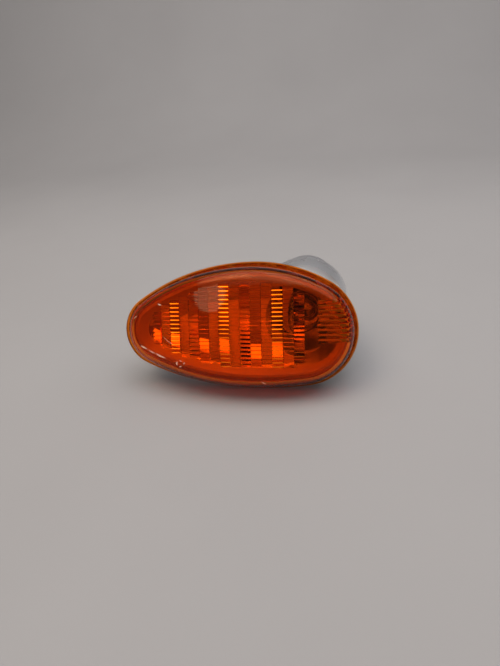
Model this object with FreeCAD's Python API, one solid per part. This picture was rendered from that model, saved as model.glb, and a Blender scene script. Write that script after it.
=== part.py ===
import FreeCAD, Part
import math
import os

# Vehicle indicator lamp: amber lens, metallised housing, bayonet bulb and twist-in bulb holder.
# Millimetres. X runs from the pointed end of the lens to its round end, Y from the lens towards the
# vehicle and Z up. The origin lies midway between the two screw bosses, in the plane of their ends.
# The rim is raked back; the bulb, its holder and the bosses lie along Y.

# Outline of the lens flange, seen square to the rim: an egg of tangent arcs
STATION_X = 20.0
HALF_HEIGHT = 33.2
TIP_REACH = 71.0
TIP_RADIUS = 19.6
END_REACH = 53.3
END_LOWER_FLANK_RADIUS = 200.0
END_DROP = 2.4

# Place of the rim
RIM_Y = -34.0
RAKE_DEG = 22.0

# Lens
FLANGE_THICKNESS = 3.0
FLANGE_STEP = 1.6
LENS_HEIGHT = 20.0
LENS_WALL = 2.4
CROWN_RADIUS = 190.0
SHOULDER_RADIUS = 8.0
DOME_DRAFT = 1.6
TONGUE_THICKNESS = 1.6
TONGUE_LENGTH = 3.2

# Block optics on the inside of the lens
COLUMN_START_X = -32.3
COLUMN_COUNT = 15
COLUMN_PITCH = 5.3
COLUMN_GAP = 0.2
COLUMN_SLANTS = (0.8, -0.5, 0.3, -0.9, 0.5, -0.2)
RIB_PITCH = 2.1
RIB_BASE = 0.5
RIB_HEIGHT = 1.2
RIB_ROOT = 0.9
RIB_LEANS = (0.12, 0.88, 0.2, 0.9, 0.5)
OPTICS_TOP_MARGIN = 8.5
OPTICS_BOTTOM_MARGIN = 13.0
LADDER_REACH = 19.8
LADDER_COUNT = 9
LADDER_PITCH = 2.4
LADDER_WIDTH = 2.0
LADDER_HEIGHT = 1.0
LADDER_LOW = -6.0

# Rim and pan of the housing
RIM_SETBACK = 0.6
RIM_BAND = 6.0
GROOVE_CLEARANCE = 0.4
HOUSING_WALL = 2.0
PAN_TIP_DEPTH = 9.0
PAN_END_DEPTH = 14.0
PAN_BACK_INSET = 13.0

# Bulb chamber and neck of the housing; stations run back from the light centre
LIGHT_END_DISTANCE = 28.8
LIGHT_DEPTH = 4.0
LIGHT_RISE = 5.0
CHAMBER_RADIUS = 23.5
CHAMBER_BACK_RADIUS = 23.2
CHAMBER_FRONT = -24.0
CHAMBER_BACK = 25.0
CHAMBER_CORNER = 3.5
NECK_LIP_RADIUS = 12.2
NECK_LIP_REACH = 1.2
NECK_LIP_THICKNESS = 2.5
NECK_SEAT_LEDGE = 2.2
NECK_SEAT_DEPTH = 4.5
NECK_WALL = 2.1
NECK_END = 41.5
GUSSET_COUNT = 4
GUSSET_THICKNESS = 1.6
GUSSET_REACH = 4.5
GUSSET_HEIGHT = 9.0

# Fixing: two screw bosses on a web
BOSS_SPACING = 28.0
BOSS_RADIUS = 4.5
BOSS_ROOT_DEPTH = 4.0
PILOT_RADIUS = 1.7
PILOT_DEPTH = 14.0
BOSS_WEB_THICKNESS = 1.8
BOSS_WEB_BACK_Y = -10.0

# Bulb
GLOBE_RADIUS = 9.25
GLASS_WALL = 0.6
GLASS_NECK_RADIUS = 6.8
GLASS_NECK_END = 16.0
GLASS_BLEND = 2.5
STEM_RADIUS = 2.2
STEM_TOP = 6.5
STEM_FLARE_THICKNESS = 1.0
LEAD_RADIUS = 0.3
LEAD_SPREAD = 1.7
FILAMENT_RADIUS = 0.5
FILAMENT_GAP = 0.05
CAP_RADIUS = 7.55
CAP_WALL = 0.4
CAP_FRONT = 10.0
CAP_BACK = 24.5
LIGHT_CENTRE_LENGTH = 19.0
PIN_RADIUS = 1.0
PIN_REACH = 8.7
PIN_ANGLE_DEG = 50.0
INSULATOR_PLUG = 1.5
INSULATOR_FOOT = 2.3
INSULATOR_END_RADIUS = 3.8
CONTACT_RADIUS = 3.0
CONTACT_HEIGHT = 0.7

# Bulb holder
SLEEVE_CLEARANCE = 0.35
SLEEVE_WALL = 0.5
SLEEVE_FRONT = 12.0
SLOT_CLEARANCE = 0.2
HOLDER_FRONT = 13.5
HOLDER_CLEARANCE = 0.2
HOLDER_SLEEVE_CLEARANCE = 0.1
HOLDER_PIN_CLEARANCE = 0.3
HOLDER_PIN_RELIEF = 3.0
LUG_COUNT = 3
LUG_ANGLE_DEG = 22.0
LUG_NOTCH_EXTRA_DEG = 4.0
LUG_THICKNESS = 2.8
LUG_CLEARANCE = 0.3
LUG_TURN_DEG = 60.0
SEAL_THICKNESS = 1.0
SEAL_CLEARANCE = 0.3
HOLDER_FLANGE_CLEARANCE = 0.4
HOLDER_FLANGE_THICKNESS = 2.6
GRIP_LENGTH = 22.0
GRIP_THICKNESS = 5.0
GRIP_HEIGHT = 7.0
GRIP_EDGE = 1.2

# Contact set
PLUNGER_HEAD = 1.2
PLUNGER_HEAD_RADIUS = 2.6
PLUNGER_STEM_RADIUS = 1.8
PLUNGER_TAIL = 0.9
CARRIER_THICKNESS = 2.0
CARRIER_CLEARANCE = 0.3
PLUNGER_CLEARANCE = 0.1
SPRING_LENGTH = 4.2
SPRING_RADIUS = 3.1
SPRING_WIRE = 0.7
SPRING_TURNS = 3
SPRING_STEPS = 16
BLADE_WIDTH = 6.3
BLADE_THICKNESS = 0.8
BLADE_OFFSET = 6.3
BLADE_END = 50.0
BLADE_SLOT_CLEARANCE = 0.1
BLADE_CHAMFER = 1.0
EARTH_FOOT_WIDTH = 2.4

# Worked values
LOWER_HEIGHT = HALF_HEIGHT - END_DROP
END_RADIUS = (
    (2 * LOWER_HEIGHT * END_LOWER_FLANK_RADIUS - END_REACH ** 2 - LOWER_HEIGHT ** 2)
    / (2 * (END_LOWER_FLANK_RADIUS - END_REACH))
)
TIP_X = STATION_X - TIP_REACH
END_X = STATION_X + END_REACH
LADDER_START_X = END_X - LADDER_REACH
LIGHT_X = END_X - LIGHT_END_DISTANCE
CAVITY_INSET = FLANGE_STEP + LENS_WALL
TONGUE_INSET = CAVITY_INSET - TONGUE_THICKNESS
GROOVE_DEPTH = TONGUE_LENGTH + GROOVE_CLEARANCE
RIM_INNER_INSET = CAVITY_INSET + GROOVE_CLEARANCE + HOUSING_WALL
CONTACT_END = CAP_BACK + INSULATOR_FOOT + CONTACT_HEIGHT
CARRIER_FRONT = CONTACT_END + PLUNGER_HEAD
CARRIER_BACK = CARRIER_FRONT + CARRIER_THICKNESS
FOOT_FRONT = CARRIER_BACK + SPRING_LENGTH
HOLDER_FLOOR = FOOT_FRONT + BLADE_THICKNESS
NECK_BORE_RADIUS = NECK_LIP_RADIUS + NECK_LIP_REACH
NECK_SEAT_RADIUS = NECK_LIP_RADIUS + NECK_SEAT_LEDGE
NECK_RADIUS = NECK_SEAT_RADIUS + NECK_WALL
HOLDER_RADIUS = NECK_LIP_RADIUS - HOLDER_CLEARANCE
HOLDER_FLANGE_RADIUS = NECK_SEAT_RADIUS - HOLDER_FLANGE_CLEARANCE
SEAT_FLOOR = NECK_END - NECK_SEAT_DEPTH
FLANGE_FRONT = SEAT_FLOOR + SEAL_THICKNESS
FLANGE_BACK = FLANGE_FRONT + HOLDER_FLANGE_THICKNESS
SLEEVE_BORE = CAP_RADIUS + SLEEVE_CLEARANCE
SLEEVE_RADIUS = SLEEVE_BORE + SLEEVE_WALL
PIN_RELIEF_END = LIGHT_CENTRE_LENGTH + HOLDER_PIN_RELIEF
SMALL = 0.01

X_AXIS = FreeCAD.Vector(1, 0, 0)
Y_AXIS = FreeCAD.Vector(0, 1, 0)
Z_AXIS = FreeCAD.Vector(0, 0, 1)

RIM_PLACEMENT = FreeCAD.Placement(
    FreeCAD.Vector(0, RIM_Y, 0), FreeCAD.Rotation(X_AXIS, -RAKE_DEG)
)
LIGHT_CENTRE = RIM_PLACEMENT.multVec(FreeCAD.Vector(LIGHT_X, LIGHT_DEPTH, LIGHT_RISE))
BULB_PLACEMENT = FreeCAD.Placement(LIGHT_CENTRE, FreeCAD.Rotation())
PIN_TURN = FreeCAD.Placement(FreeCAD.Vector(), FreeCAD.Rotation(Y_AXIS, PIN_ANGLE_DEG))


def placed(shape, placement):
    """Return a copy of a shape carried by a placement."""
    result = shape.copy()
    result.Placement = placement.multiply(result.Placement)
    return result


def flank_radius(side, reach, end_radius):
    """Radius of the flank arc that runs level at the crest of its side and passes into an end arc."""
    across = reach - end_radius
    height = HALF_HEIGHT + side * END_DROP
    return (across ** 2 + height ** 2 - end_radius ** 2) / (2 * (height - end_radius))


def outline_wire(inset, depth):
    """Egg outline parallel to the flange edge, in a plane square to the rim's own depth axis."""
    tip = FreeCAD.Vector(TIP_X + inset, depth, -END_DROP)
    end = FreeCAD.Vector(END_X - inset, depth, -END_DROP)
    tip_centre = FreeCAD.Vector(TIP_X + TIP_RADIUS, depth, -END_DROP)
    end_centre = FreeCAD.Vector(END_X - END_RADIUS, depth, -END_DROP)

    def flank(side, reach, arc_centre, arc_radius):
        """Crest, middle and last point of a flank arc on the upper or lower side."""
        radius = flank_radius(side, reach, arc_radius)
        centre = FreeCAD.Vector(STATION_X, depth, side * (HALF_HEIGHT - radius))
        outward = Z_AXIS * side
        towards = (arc_centre - centre).normalize()
        halfway = (towards + outward).normalize()
        return [centre + line * (radius - inset) for line in (outward, halfway, towards)]

    crest, tip_upper, tip_top = flank(1, TIP_REACH, tip_centre, TIP_RADIUS)
    end_upper, end_top = flank(1, END_REACH, end_centre, END_RADIUS)[1:]
    keel, tip_lower, tip_low = flank(-1, TIP_REACH, tip_centre, TIP_RADIUS)
    end_lower, end_low = flank(-1, END_REACH, end_centre, END_RADIUS)[1:]
    arcs = [
        Part.Arc(tip_top, tip_upper, crest),
        Part.Arc(crest, end_upper, end_top),
        Part.Arc(end_top, end, end_low),
        Part.Arc(end_low, end_lower, keel),
        Part.Arc(keel, tip_lower, tip_low),
        Part.Arc(tip_low, tip, tip_top),
    ]
    return Part.Wire([arc.toShape() for arc in arcs])


def outline_prism(inset, front, back):
    """Solid of the egg outline between two depths."""
    face = Part.Face(outline_wire(inset, front))
    return face.extrude(FreeCAD.Vector(0, back - front, 0))


def outline_ring(outer_inset, inner_inset, front, back):
    """Solid between two parallel egg outlines."""
    return outline_prism(outer_inset, front, back).cut(outline_prism(inner_inset, front, back))


def edge_at(side, x, inset):
    """Distance from the middle of the rim to the upper or lower edge at a station along it."""
    towards_tip = x < STATION_X
    reach = TIP_REACH if towards_tip else END_REACH
    arc_radius = TIP_RADIUS if towards_tip else END_RADIUS
    arc_offset = abs(x - STATION_X) - (reach - arc_radius)
    radius = flank_radius(side, reach, arc_radius)
    flank = math.sqrt((radius - inset) ** 2 - (x - STATION_X) ** 2) - radius + HALF_HEIGHT
    if arc_offset <= 0:
        return flank
    return min(flank, math.sqrt(max((arc_radius - inset) ** 2 - arc_offset ** 2, 0)) - side * END_DROP)


def dome(inset, height, crown_radius, shoulder_radius):
    """Crowned egg solid standing forward of the rim plane, with a rounded shoulder."""
    foot = outline_wire(inset, 0)
    head = outline_wire(inset + DOME_DRAFT, -height - SMALL)
    block = Part.makeLoft([foot, head], True, True)
    centre = FreeCAD.Vector(STATION_X, crown_radius - height, 0)
    crowned = block.common(Part.makeSphere(crown_radius, centre))
    crown_edges = []
    for face in crowned.Faces:
        if isinstance(face.Surface, Part.Sphere):
            crown_edges.extend(face.Edges)
    return crowned.makeFillet(shoulder_radius, crown_edges)


def inner_crown_depth(x, rise):
    """Depth of the inside of the lens crown at a point of the rim plane."""
    radius = CROWN_RADIUS - LENS_WALL
    reach = (x - STATION_X) ** 2 + rise ** 2
    return CROWN_RADIUS - LENS_HEIGHT - math.sqrt(radius ** 2 - reach)


def optic_column(index):
    """One column of prism ribs on the inside of the crown, with its own slant and lean."""
    left = COLUMN_START_X + index * COLUMN_PITCH
    middle = left + COLUMN_PITCH / 2
    right = left + COLUMN_PITCH
    slant = COLUMN_SLANTS[index % len(COLUMN_SLANTS)]
    lean = RIB_LEANS[index % len(RIB_LEANS)]
    top_room = min(edge_at(1, x, OPTICS_TOP_MARGIN) for x in (left, right))
    low_room = min(edge_at(-1, x, OPTICS_BOTTOM_MARGIN) for x in (left, right))
    above = max(int(top_room / RIB_PITCH), 1)
    below = max(int(low_room / RIB_PITCH), 1)

    def point(rise, depth):
        """Point of the column's end face, measured from the inside of the crown."""
        return FreeCAD.Vector(left, inner_crown_depth(middle, rise) + depth - slant / 2, rise)

    ribs = [point(-below * RIB_PITCH, RIB_BASE)]
    for rib in range(-below, above):
        ribs.append(point((rib + lean) * RIB_PITCH, RIB_HEIGHT))
        ribs.append(point((rib + 1) * RIB_PITCH, RIB_BASE))
    root_low = point(-below * RIB_PITCH, -RIB_ROOT)
    root_high = point(above * RIB_PITCH, -RIB_ROOT)
    root_mid = point((above - below) / 2 * RIB_PITCH, -RIB_ROOT)
    edges = [Part.makeLine(a, b) for a, b in zip(ribs, ribs[1:])]
    edges.append(Part.makeLine(ribs[-1], root_high))
    edges.append(Part.Arc(root_high, root_mid, root_low).toShape())
    edges.append(Part.makeLine(root_low, ribs[0]))
    width = COLUMN_PITCH - COLUMN_GAP
    return Part.Face(Part.Wire(edges)).extrude(FreeCAD.Vector(width, slant, 0))


def lens_cavity():
    """Room inside the lens dome."""
    return dome(
        CAVITY_INSET,
        LENS_HEIGHT - LENS_WALL,
        CROWN_RADIUS - LENS_WALL,
        SHOULDER_RADIUS - LENS_WALL,
    )


def ladder_ribs(cavity):
    """Short level ribs that follow the inside of the round end."""
    ribs = []
    half = LADDER_WIDTH / 2
    for step in range(LADDER_COUNT):
        rise = LADDER_LOW + step * LADDER_PITCH
        start_depth = inner_crown_depth(LADDER_START_X, rise)
        corner = FreeCAD.Vector(LADDER_START_X, -LENS_HEIGHT, rise - half)
        room = Part.makeBox(END_X - LADDER_START_X, LENS_HEIGHT - FLANGE_THICKNESS, LADDER_WIDTH, corner)
        level = cavity.common(room).slice(Z_AXIS, rise)[0]
        path = [edge for edge in level.Edges if not isinstance(edge.Curve, Part.Line)]
        wire = Part.Wire(Part.getSortedClusters(path)[0])
        profile = [
            FreeCAD.Vector(LADDER_START_X, start_depth - RIB_ROOT, rise - half),
            FreeCAD.Vector(LADDER_START_X, start_depth - RIB_ROOT, rise + half),
            FreeCAD.Vector(LADDER_START_X, start_depth, rise + half),
            FreeCAD.Vector(LADDER_START_X, start_depth + LADDER_HEIGHT, rise),
            FreeCAD.Vector(LADDER_START_X, start_depth, rise - half),
        ]
        ribs.append(wire.makePipeShell([Part.makePolygon(profile + profile[:1])], True, False))
    return ribs


def make_lens():
    """Amber lens: flange, crowned dome, tongue and block optics in one moulding."""
    shell = dome(FLANGE_STEP, LENS_HEIGHT, CROWN_RADIUS, SHOULDER_RADIUS)
    shell = shell.fuse(outline_prism(0, -FLANGE_THICKNESS, 0))
    shell = shell.fuse(outline_prism(TONGUE_INSET, -FLANGE_THICKNESS, TONGUE_LENGTH))
    cavity = lens_cavity()
    shell = shell.cut(cavity.fuse(outline_prism(CAVITY_INSET, 0, TONGUE_LENGTH)))
    optics = [optic_column(index) for index in range(COLUMN_COUNT)]
    shell = shell.fuse(optics + ladder_ribs(cavity))
    return placed(shell.removeSplitter(), RIM_PLACEMENT)


def make_rim_sealant():
    """Bead that fills the groove around the lens tongue."""
    groove = groove_ring()
    tongue = outline_ring(TONGUE_INSET, CAVITY_INSET, 0, TONGUE_LENGTH)
    return placed(groove.cut(tongue), RIM_PLACEMENT)


def groove_ring():
    """Room of the groove in the housing rim."""
    outer = TONGUE_INSET - GROOVE_CLEARANCE
    inner = CAVITY_INSET + GROOVE_CLEARANCE
    return outline_ring(outer, inner, 0, GROOVE_DEPTH)


def pan(front_inset, back_inset, front, lift):
    """Tapering pan behind the rim, shallower towards the pointed end."""
    back = outline_wire(back_inset, PAN_END_DEPTH - lift)
    hinge = FreeCAD.Vector(END_X, PAN_END_DEPTH - lift, 0)
    slope = math.degrees(math.atan2(PAN_END_DEPTH - PAN_TIP_DEPTH, TIP_REACH + END_REACH))
    back.rotate(hinge, Z_AXIS, slope)
    return Part.makeLoft([outline_wire(front_inset, front), back], True, True)


def barrel(radius, front, back):
    """Cylinder along the bulb axis between two stations."""
    start = FreeCAD.Vector(0, front, 0)
    return Part.makeCylinder(radius, back - front, start, Y_AXIS)


def tube(outer, inner, front, back):
    """Round tube along the bulb axis."""
    return barrel(outer, front, back).cut(barrel(inner, front, back))


def taper(front_radius, back_radius, front, back):
    """Cone along the bulb axis."""
    start = FreeCAD.Vector(0, front, 0)
    return Part.makeCone(front_radius, back_radius, back - front, start, Y_AXIS)


def sector(outer, inner, front, back, middle_deg, sweep_deg):
    """Part of a round tube about the bulb axis."""
    start = FreeCAD.Vector(0, front, 0)
    outer_part = Part.makeCylinder(outer, back - front, start, Y_AXIS, sweep_deg)
    inner_part = barrel(inner, front, back)
    piece = outer_part.cut(inner_part)
    turn = FreeCAD.Rotation(Y_AXIS, middle_deg - sweep_deg / 2)
    return placed(piece, FreeCAD.Placement(FreeCAD.Vector(), turn))


def chamber(lift):
    """Drum of the bulb chamber, from the floor of the rim groove to a rounded back corner."""
    front_radius = CHAMBER_RADIUS - lift
    back_radius = CHAMBER_BACK_RADIUS - lift
    back = CHAMBER_BACK - lift
    drum = taper(front_radius, back_radius, CHAMBER_FRONT, back)
    corner = [edge for edge in drum.Edges if abs(edge.BoundBox.YMin - back) < SMALL and edge.Closed]
    drum = placed(drum.makeFillet(CHAMBER_CORNER - lift, corner), BULB_PLACEMENT)
    behind_rim = outline_prism(RIM_SETBACK - END_REACH, GROOVE_DEPTH + HOUSING_WALL, END_REACH)
    return drum.common(placed(behind_rim, RIM_PLACEMENT))


def neck_gussets():
    """Webs between the neck and the back of the chamber."""
    webs = []
    for index in range(GUSSET_COUNT):
        foot = NECK_RADIUS - HOUSING_WALL
        points = [
            FreeCAD.Vector(foot, CHAMBER_BACK - HOUSING_WALL, -GUSSET_THICKNESS / 2),
            FreeCAD.Vector(NECK_RADIUS + GUSSET_REACH, CHAMBER_BACK - HOUSING_WALL, -GUSSET_THICKNESS / 2),
            FreeCAD.Vector(foot, CHAMBER_BACK + GUSSET_HEIGHT, -GUSSET_THICKNESS / 2),
        ]
        web = Part.Face(Part.makePolygon(points + points[:1])).extrude(Z_AXIS * GUSSET_THICKNESS)
        turn = FreeCAD.Rotation(Y_AXIS, (index + 1 / 2) * 360 / GUSSET_COUNT)
        webs.append(placed(web, FreeCAD.Placement(FreeCAD.Vector(), turn)))
    return webs


def boss_stations():
    """Place of each screw boss along the lamp."""
    return (-BOSS_SPACING / 2, BOSS_SPACING / 2)


def fixing_bosses():
    """Screw bosses and the web that ties them to the chamber."""
    root_y = RIM_Y + BOSS_ROOT_DEPTH
    pieces = []
    for station in boss_stations():
        root = FreeCAD.Vector(station, root_y, 0)
        pieces.append(Part.makeCylinder(BOSS_RADIUS, -root_y, root, Y_AXIS))
    first = boss_stations()[0]
    corner = FreeCAD.Vector(first, root_y, -BOSS_WEB_THICKNESS / 2)
    reach = LIGHT_CENTRE.x - NECK_RADIUS - first
    pieces.append(Part.makeBox(reach, BOSS_WEB_BACK_Y - root_y, BOSS_WEB_THICKNESS, corner))
    return pieces


def neck_bore():
    """Room inside the neck: bore, lip with notches and the seat for the holder."""
    lip_front = SEAT_FLOOR - NECK_LIP_THICKNESS
    room = barrel(NECK_BORE_RADIUS, CHAMBER_BACK - CHAMBER_CORNER, lip_front)
    room = room.fuse(barrel(NECK_LIP_RADIUS, lip_front - SMALL, SEAT_FLOOR + SMALL))
    room = room.fuse(barrel(NECK_SEAT_RADIUS, SEAT_FLOOR, NECK_END + SMALL))
    notch_sweep = LUG_ANGLE_DEG + LUG_NOTCH_EXTRA_DEG
    for index in range(LUG_COUNT):
        middle = LUG_TURN_DEG + index * 360 / LUG_COUNT
        front = lip_front - SMALL
        back = SEAT_FLOOR + SMALL
        notch = sector(NECK_BORE_RADIUS, HOLDER_RADIUS - LUG_CLEARANCE, front, back, middle, notch_sweep)
        room = room.fuse(notch)
    return room


def make_reflector_housing():
    """Metallised housing: grooved rim, pan, bulb chamber, neck and bosses in one moulding."""
    groove_inset = CAVITY_INSET + GROOVE_CLEARANCE
    body = placed(outline_prism(RIM_SETBACK, 0, RIM_BAND), RIM_PLACEMENT)
    body = body.fuse(placed(pan(groove_inset, PAN_BACK_INSET, 0, 0), RIM_PLACEMENT))
    body = body.fuse(chamber(0))
    neck = barrel(NECK_RADIUS, CHAMBER_BACK - CHAMBER_CORNER, NECK_END)
    body = body.fuse([placed(piece, BULB_PLACEMENT) for piece in [neck] + neck_gussets()])
    body = body.fuse(fixing_bosses())
    room = placed(pan(RIM_INNER_INSET, PAN_BACK_INSET + HOUSING_WALL, -SMALL, HOUSING_WALL), RIM_PLACEMENT)
    body = body.cut(room)
    body = body.cut(chamber(HOUSING_WALL))
    body = body.cut(placed(neck_bore(), BULB_PLACEMENT))
    body = body.cut(placed(groove_ring(), RIM_PLACEMENT))
    for station in boss_stations():
        mouth = FreeCAD.Vector(station, -PILOT_DEPTH, 0)
        body = body.cut(Part.makeCylinder(PILOT_RADIUS, PILOT_DEPTH, mouth, Y_AXIS))
    return body.removeSplitter()


def glass_form(lift):
    """Outside or inside form of the glass: a globe blended into its neck."""
    globe = Part.makeSphere(GLOBE_RADIUS - lift)
    form = globe.fuse(barrel(GLASS_NECK_RADIUS - lift, 0, GLASS_NECK_END - lift)).removeSplitter()
    joint = [
        edge
        for edge in form.Edges
        if edge.Closed and SMALL < edge.BoundBox.YMin < GLASS_NECK_END - lift - SMALL
    ]
    return form.makeFillet(GLASS_BLEND + lift, joint)


def make_bulb_glass():
    """Glass envelope with its flare and stem."""
    glass = glass_form(0).cut(glass_form(GLASS_WALL))
    flare = GLASS_NECK_END - STEM_FLARE_THICKNESS
    glass = glass.fuse(barrel(STEM_RADIUS, STEM_TOP, GLASS_NECK_END))
    glass = glass.fuse(barrel(GLASS_NECK_RADIUS - GLASS_WALL / 2, flare, GLASS_NECK_END))
    return placed(glass, BULB_PLACEMENT)


def make_bulb_lead_wires():
    """Two wires from the stem to the ends of the filament."""
    wires = []
    for side in (-1, 1):
        foot = FreeCAD.Vector(side * LEAD_SPREAD, STEM_TOP, 0)
        wires.append(Part.makeCylinder(LEAD_RADIUS, STEM_TOP + LEAD_RADIUS, foot, -Y_AXIS))
    return placed(Part.makeCompound(wires), BULB_PLACEMENT.multiply(PIN_TURN))


def make_bulb_filament():
    """Tungsten coil between the lead wires, as the rod that its close turns make."""
    reach = LEAD_SPREAD - LEAD_RADIUS - FILAMENT_GAP
    rod = Part.makeCylinder(FILAMENT_RADIUS, 2 * reach, X_AXIS * -reach, X_AXIS)
    return placed(rod, BULB_PLACEMENT.multiply(PIN_TURN))


def pin_pair(radius, inner, outer):
    """Two round studs across the bulb axis at the pin station."""
    studs = []
    for side in (-1, 1):
        start = FreeCAD.Vector(side * inner, LIGHT_CENTRE_LENGTH, 0)
        studs.append(Part.makeCylinder(radius, outer - inner, start, X_AXIS * side))
    return Part.makeCompound(studs)


def make_bulb_cap():
    """Thin round cap with holes for its two pins."""
    cap = tube(CAP_RADIUS, CAP_RADIUS - CAP_WALL, CAP_FRONT, CAP_BACK)
    holes = placed(pin_pair(PIN_RADIUS, CAP_RADIUS - 2 * CAP_WALL, PIN_REACH), PIN_TURN)
    return placed(cap.cut(holes), BULB_PLACEMENT)


def make_bulb_pins():
    """Bayonet pins set in the cap."""
    pins = pin_pair(PIN_RADIUS, CAP_RADIUS - CAP_WALL, PIN_REACH)
    return placed(pins, BULB_PLACEMENT.multiply(PIN_TURN))


def make_bulb_insulator():
    """Dark glass foot of the cap."""
    plug = barrel(CAP_RADIUS - CAP_WALL, CAP_BACK - INSULATOR_PLUG, CAP_BACK)
    foot = taper(CAP_RADIUS - CAP_WALL, INSULATOR_END_RADIUS, CAP_BACK, CAP_BACK + INSULATOR_FOOT)
    return placed(plug.fuse(foot).removeSplitter(), BULB_PLACEMENT)


def make_bulb_contact():
    """Solder button under the foot."""
    back = CAP_BACK + INSULATOR_FOOT
    return placed(taper(CONTACT_RADIUS, PLUNGER_STEM_RADIUS, back, CONTACT_END), BULB_PLACEMENT)


def make_socket_sleeve():
    """Steel sleeve with two hooked slots for the bulb pins."""
    sleeve = tube(SLEEVE_RADIUS, SLEEVE_BORE, SLEEVE_FRONT, HOLDER_FLOOR)
    half = PIN_RADIUS + SLOT_CLEARANCE
    slot_back = LIGHT_CENTRE_LENGTH + half
    corner = FreeCAD.Vector(-2 * SLEEVE_RADIUS, SLEEVE_FRONT - SMALL, -half)
    sleeve = sleeve.cut(Part.makeBox(4 * SLEEVE_RADIUS, slot_back - SLEEVE_FRONT, 2 * half, corner))
    pin_sweep = math.degrees(half / SLEEVE_BORE)
    sweep = PIN_ANGLE_DEG + pin_sweep
    for side in (0, 180):
        hook_front = LIGHT_CENTRE_LENGTH - half
        start = FreeCAD.Vector(0, hook_front, 0)
        hook = Part.makeCylinder(2 * SLEEVE_RADIUS, 2 * half, start, Y_AXIS, sweep)
        hook.rotate(FreeCAD.Vector(), Y_AXIS, side + slot_start_deg())
        sleeve = sleeve.cut(hook)
    return placed(sleeve, BULB_PLACEMENT)


def slot_start_deg():
    """Turn that brings the start of a cylinder sweep about the bulb axis onto the slot."""
    probe = Part.makeCylinder(1, 1, FreeCAD.Vector(), Y_AXIS, 1)
    centre = probe.CenterOfMass
    return math.degrees(math.atan2(centre.z, centre.x))


def make_holder_body():
    """Twist-in holder: spigot, three lugs, flange and grip in one moulding."""
    body = barrel(HOLDER_RADIUS, HOLDER_FRONT, FLANGE_BACK)
    body = body.fuse(barrel(HOLDER_FLANGE_RADIUS, FLANGE_FRONT, FLANGE_BACK))
    lug_back = SEAT_FLOOR - NECK_LIP_THICKNESS - LUG_CLEARANCE
    for index in range(LUG_COUNT):
        middle = index * 360 / LUG_COUNT
        outer = NECK_BORE_RADIUS - LUG_CLEARANCE
        inner = HOLDER_RADIUS - HOUSING_WALL
        lug = sector(outer, inner, lug_back - LUG_THICKNESS, lug_back, middle, LUG_ANGLE_DEG)
        body = body.fuse(lug)
    corner = FreeCAD.Vector(-GRIP_LENGTH / 2, FLANGE_BACK, -GRIP_THICKNESS / 2)
    grip = Part.makeBox(GRIP_LENGTH, GRIP_HEIGHT, GRIP_THICKNESS, corner)
    rims = [edge for edge in grip.Edges if edge.BoundBox.YMin > FLANGE_BACK + SMALL]
    body = body.fuse(grip.makeFillet(GRIP_EDGE, rims))
    body = body.cut(barrel(SLEEVE_RADIUS + HOLDER_SLEEVE_CLEARANCE, HOLDER_FRONT, HOLDER_FLOOR))
    body = body.cut(barrel(PIN_REACH + HOLDER_PIN_CLEARANCE, HOLDER_FRONT, PIN_RELIEF_END))
    for side in (-1, 1):
        half = BLADE_WIDTH / 2 + BLADE_SLOT_CLEARANCE
        thick = BLADE_THICKNESS + 2 * BLADE_SLOT_CLEARANCE
        corner = FreeCAD.Vector(-half, HOLDER_FLOOR - SMALL, side * BLADE_OFFSET - thick / 2)
        body = body.cut(Part.makeBox(2 * half, BLADE_END - HOLDER_FLOOR, thick, corner))
    return placed(body.removeSplitter(), BULB_PLACEMENT)


def make_holder_seal():
    """Rubber ring between the neck seat and the holder flange."""
    inner = NECK_LIP_RADIUS
    outer = NECK_SEAT_RADIUS - SEAL_CLEARANCE
    return placed(tube(outer, inner, SEAT_FLOOR, FLANGE_FRONT), BULB_PLACEMENT)


def make_contact_carrier():
    """Insulating disc around the plunger."""
    outer = SLEEVE_BORE - CARRIER_CLEARANCE
    inner = PLUNGER_STEM_RADIUS + PLUNGER_CLEARANCE
    return placed(tube(outer, inner, CARRIER_FRONT, CARRIER_BACK), BULB_PLACEMENT)


def make_contact_plunger():
    """Brass plunger: head against the solder button and stem through the carrier."""
    head = barrel(PLUNGER_HEAD_RADIUS, CONTACT_END, CARRIER_FRONT)
    stem = barrel(PLUNGER_STEM_RADIUS, CONTACT_END, CARRIER_BACK + PLUNGER_TAIL)
    return placed(head.fuse(stem).removeSplitter(), BULB_PLACEMENT)


def make_contact_spring():
    """Square-wire coil spring between the carrier and the foot of the live blade."""
    half = SPRING_WIRE / 2
    first = CARRIER_BACK + half
    rise = (SPRING_LENGTH - SPRING_WIRE) / (SPRING_TURNS * SPRING_STEPS)
    corners = [
        FreeCAD.Vector(SPRING_RADIUS + side, end, 0)
        for side, end in ((-half, -half), (half, -half), (half, half), (-half, half))
    ]
    sections = []
    for step in range(SPRING_TURNS * SPRING_STEPS + 1):
        turn = FreeCAD.Rotation(Y_AXIS, step * 360 / SPRING_STEPS)
        carry = FreeCAD.Placement(FreeCAD.Vector(0, first + step * rise, 0), turn)
        ring = [carry.multVec(corner) for corner in corners]
        sections.append(Part.makePolygon(ring + ring[:1]))
    return placed(Part.makeLoft(sections, True, True), BULB_PLACEMENT)


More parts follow.
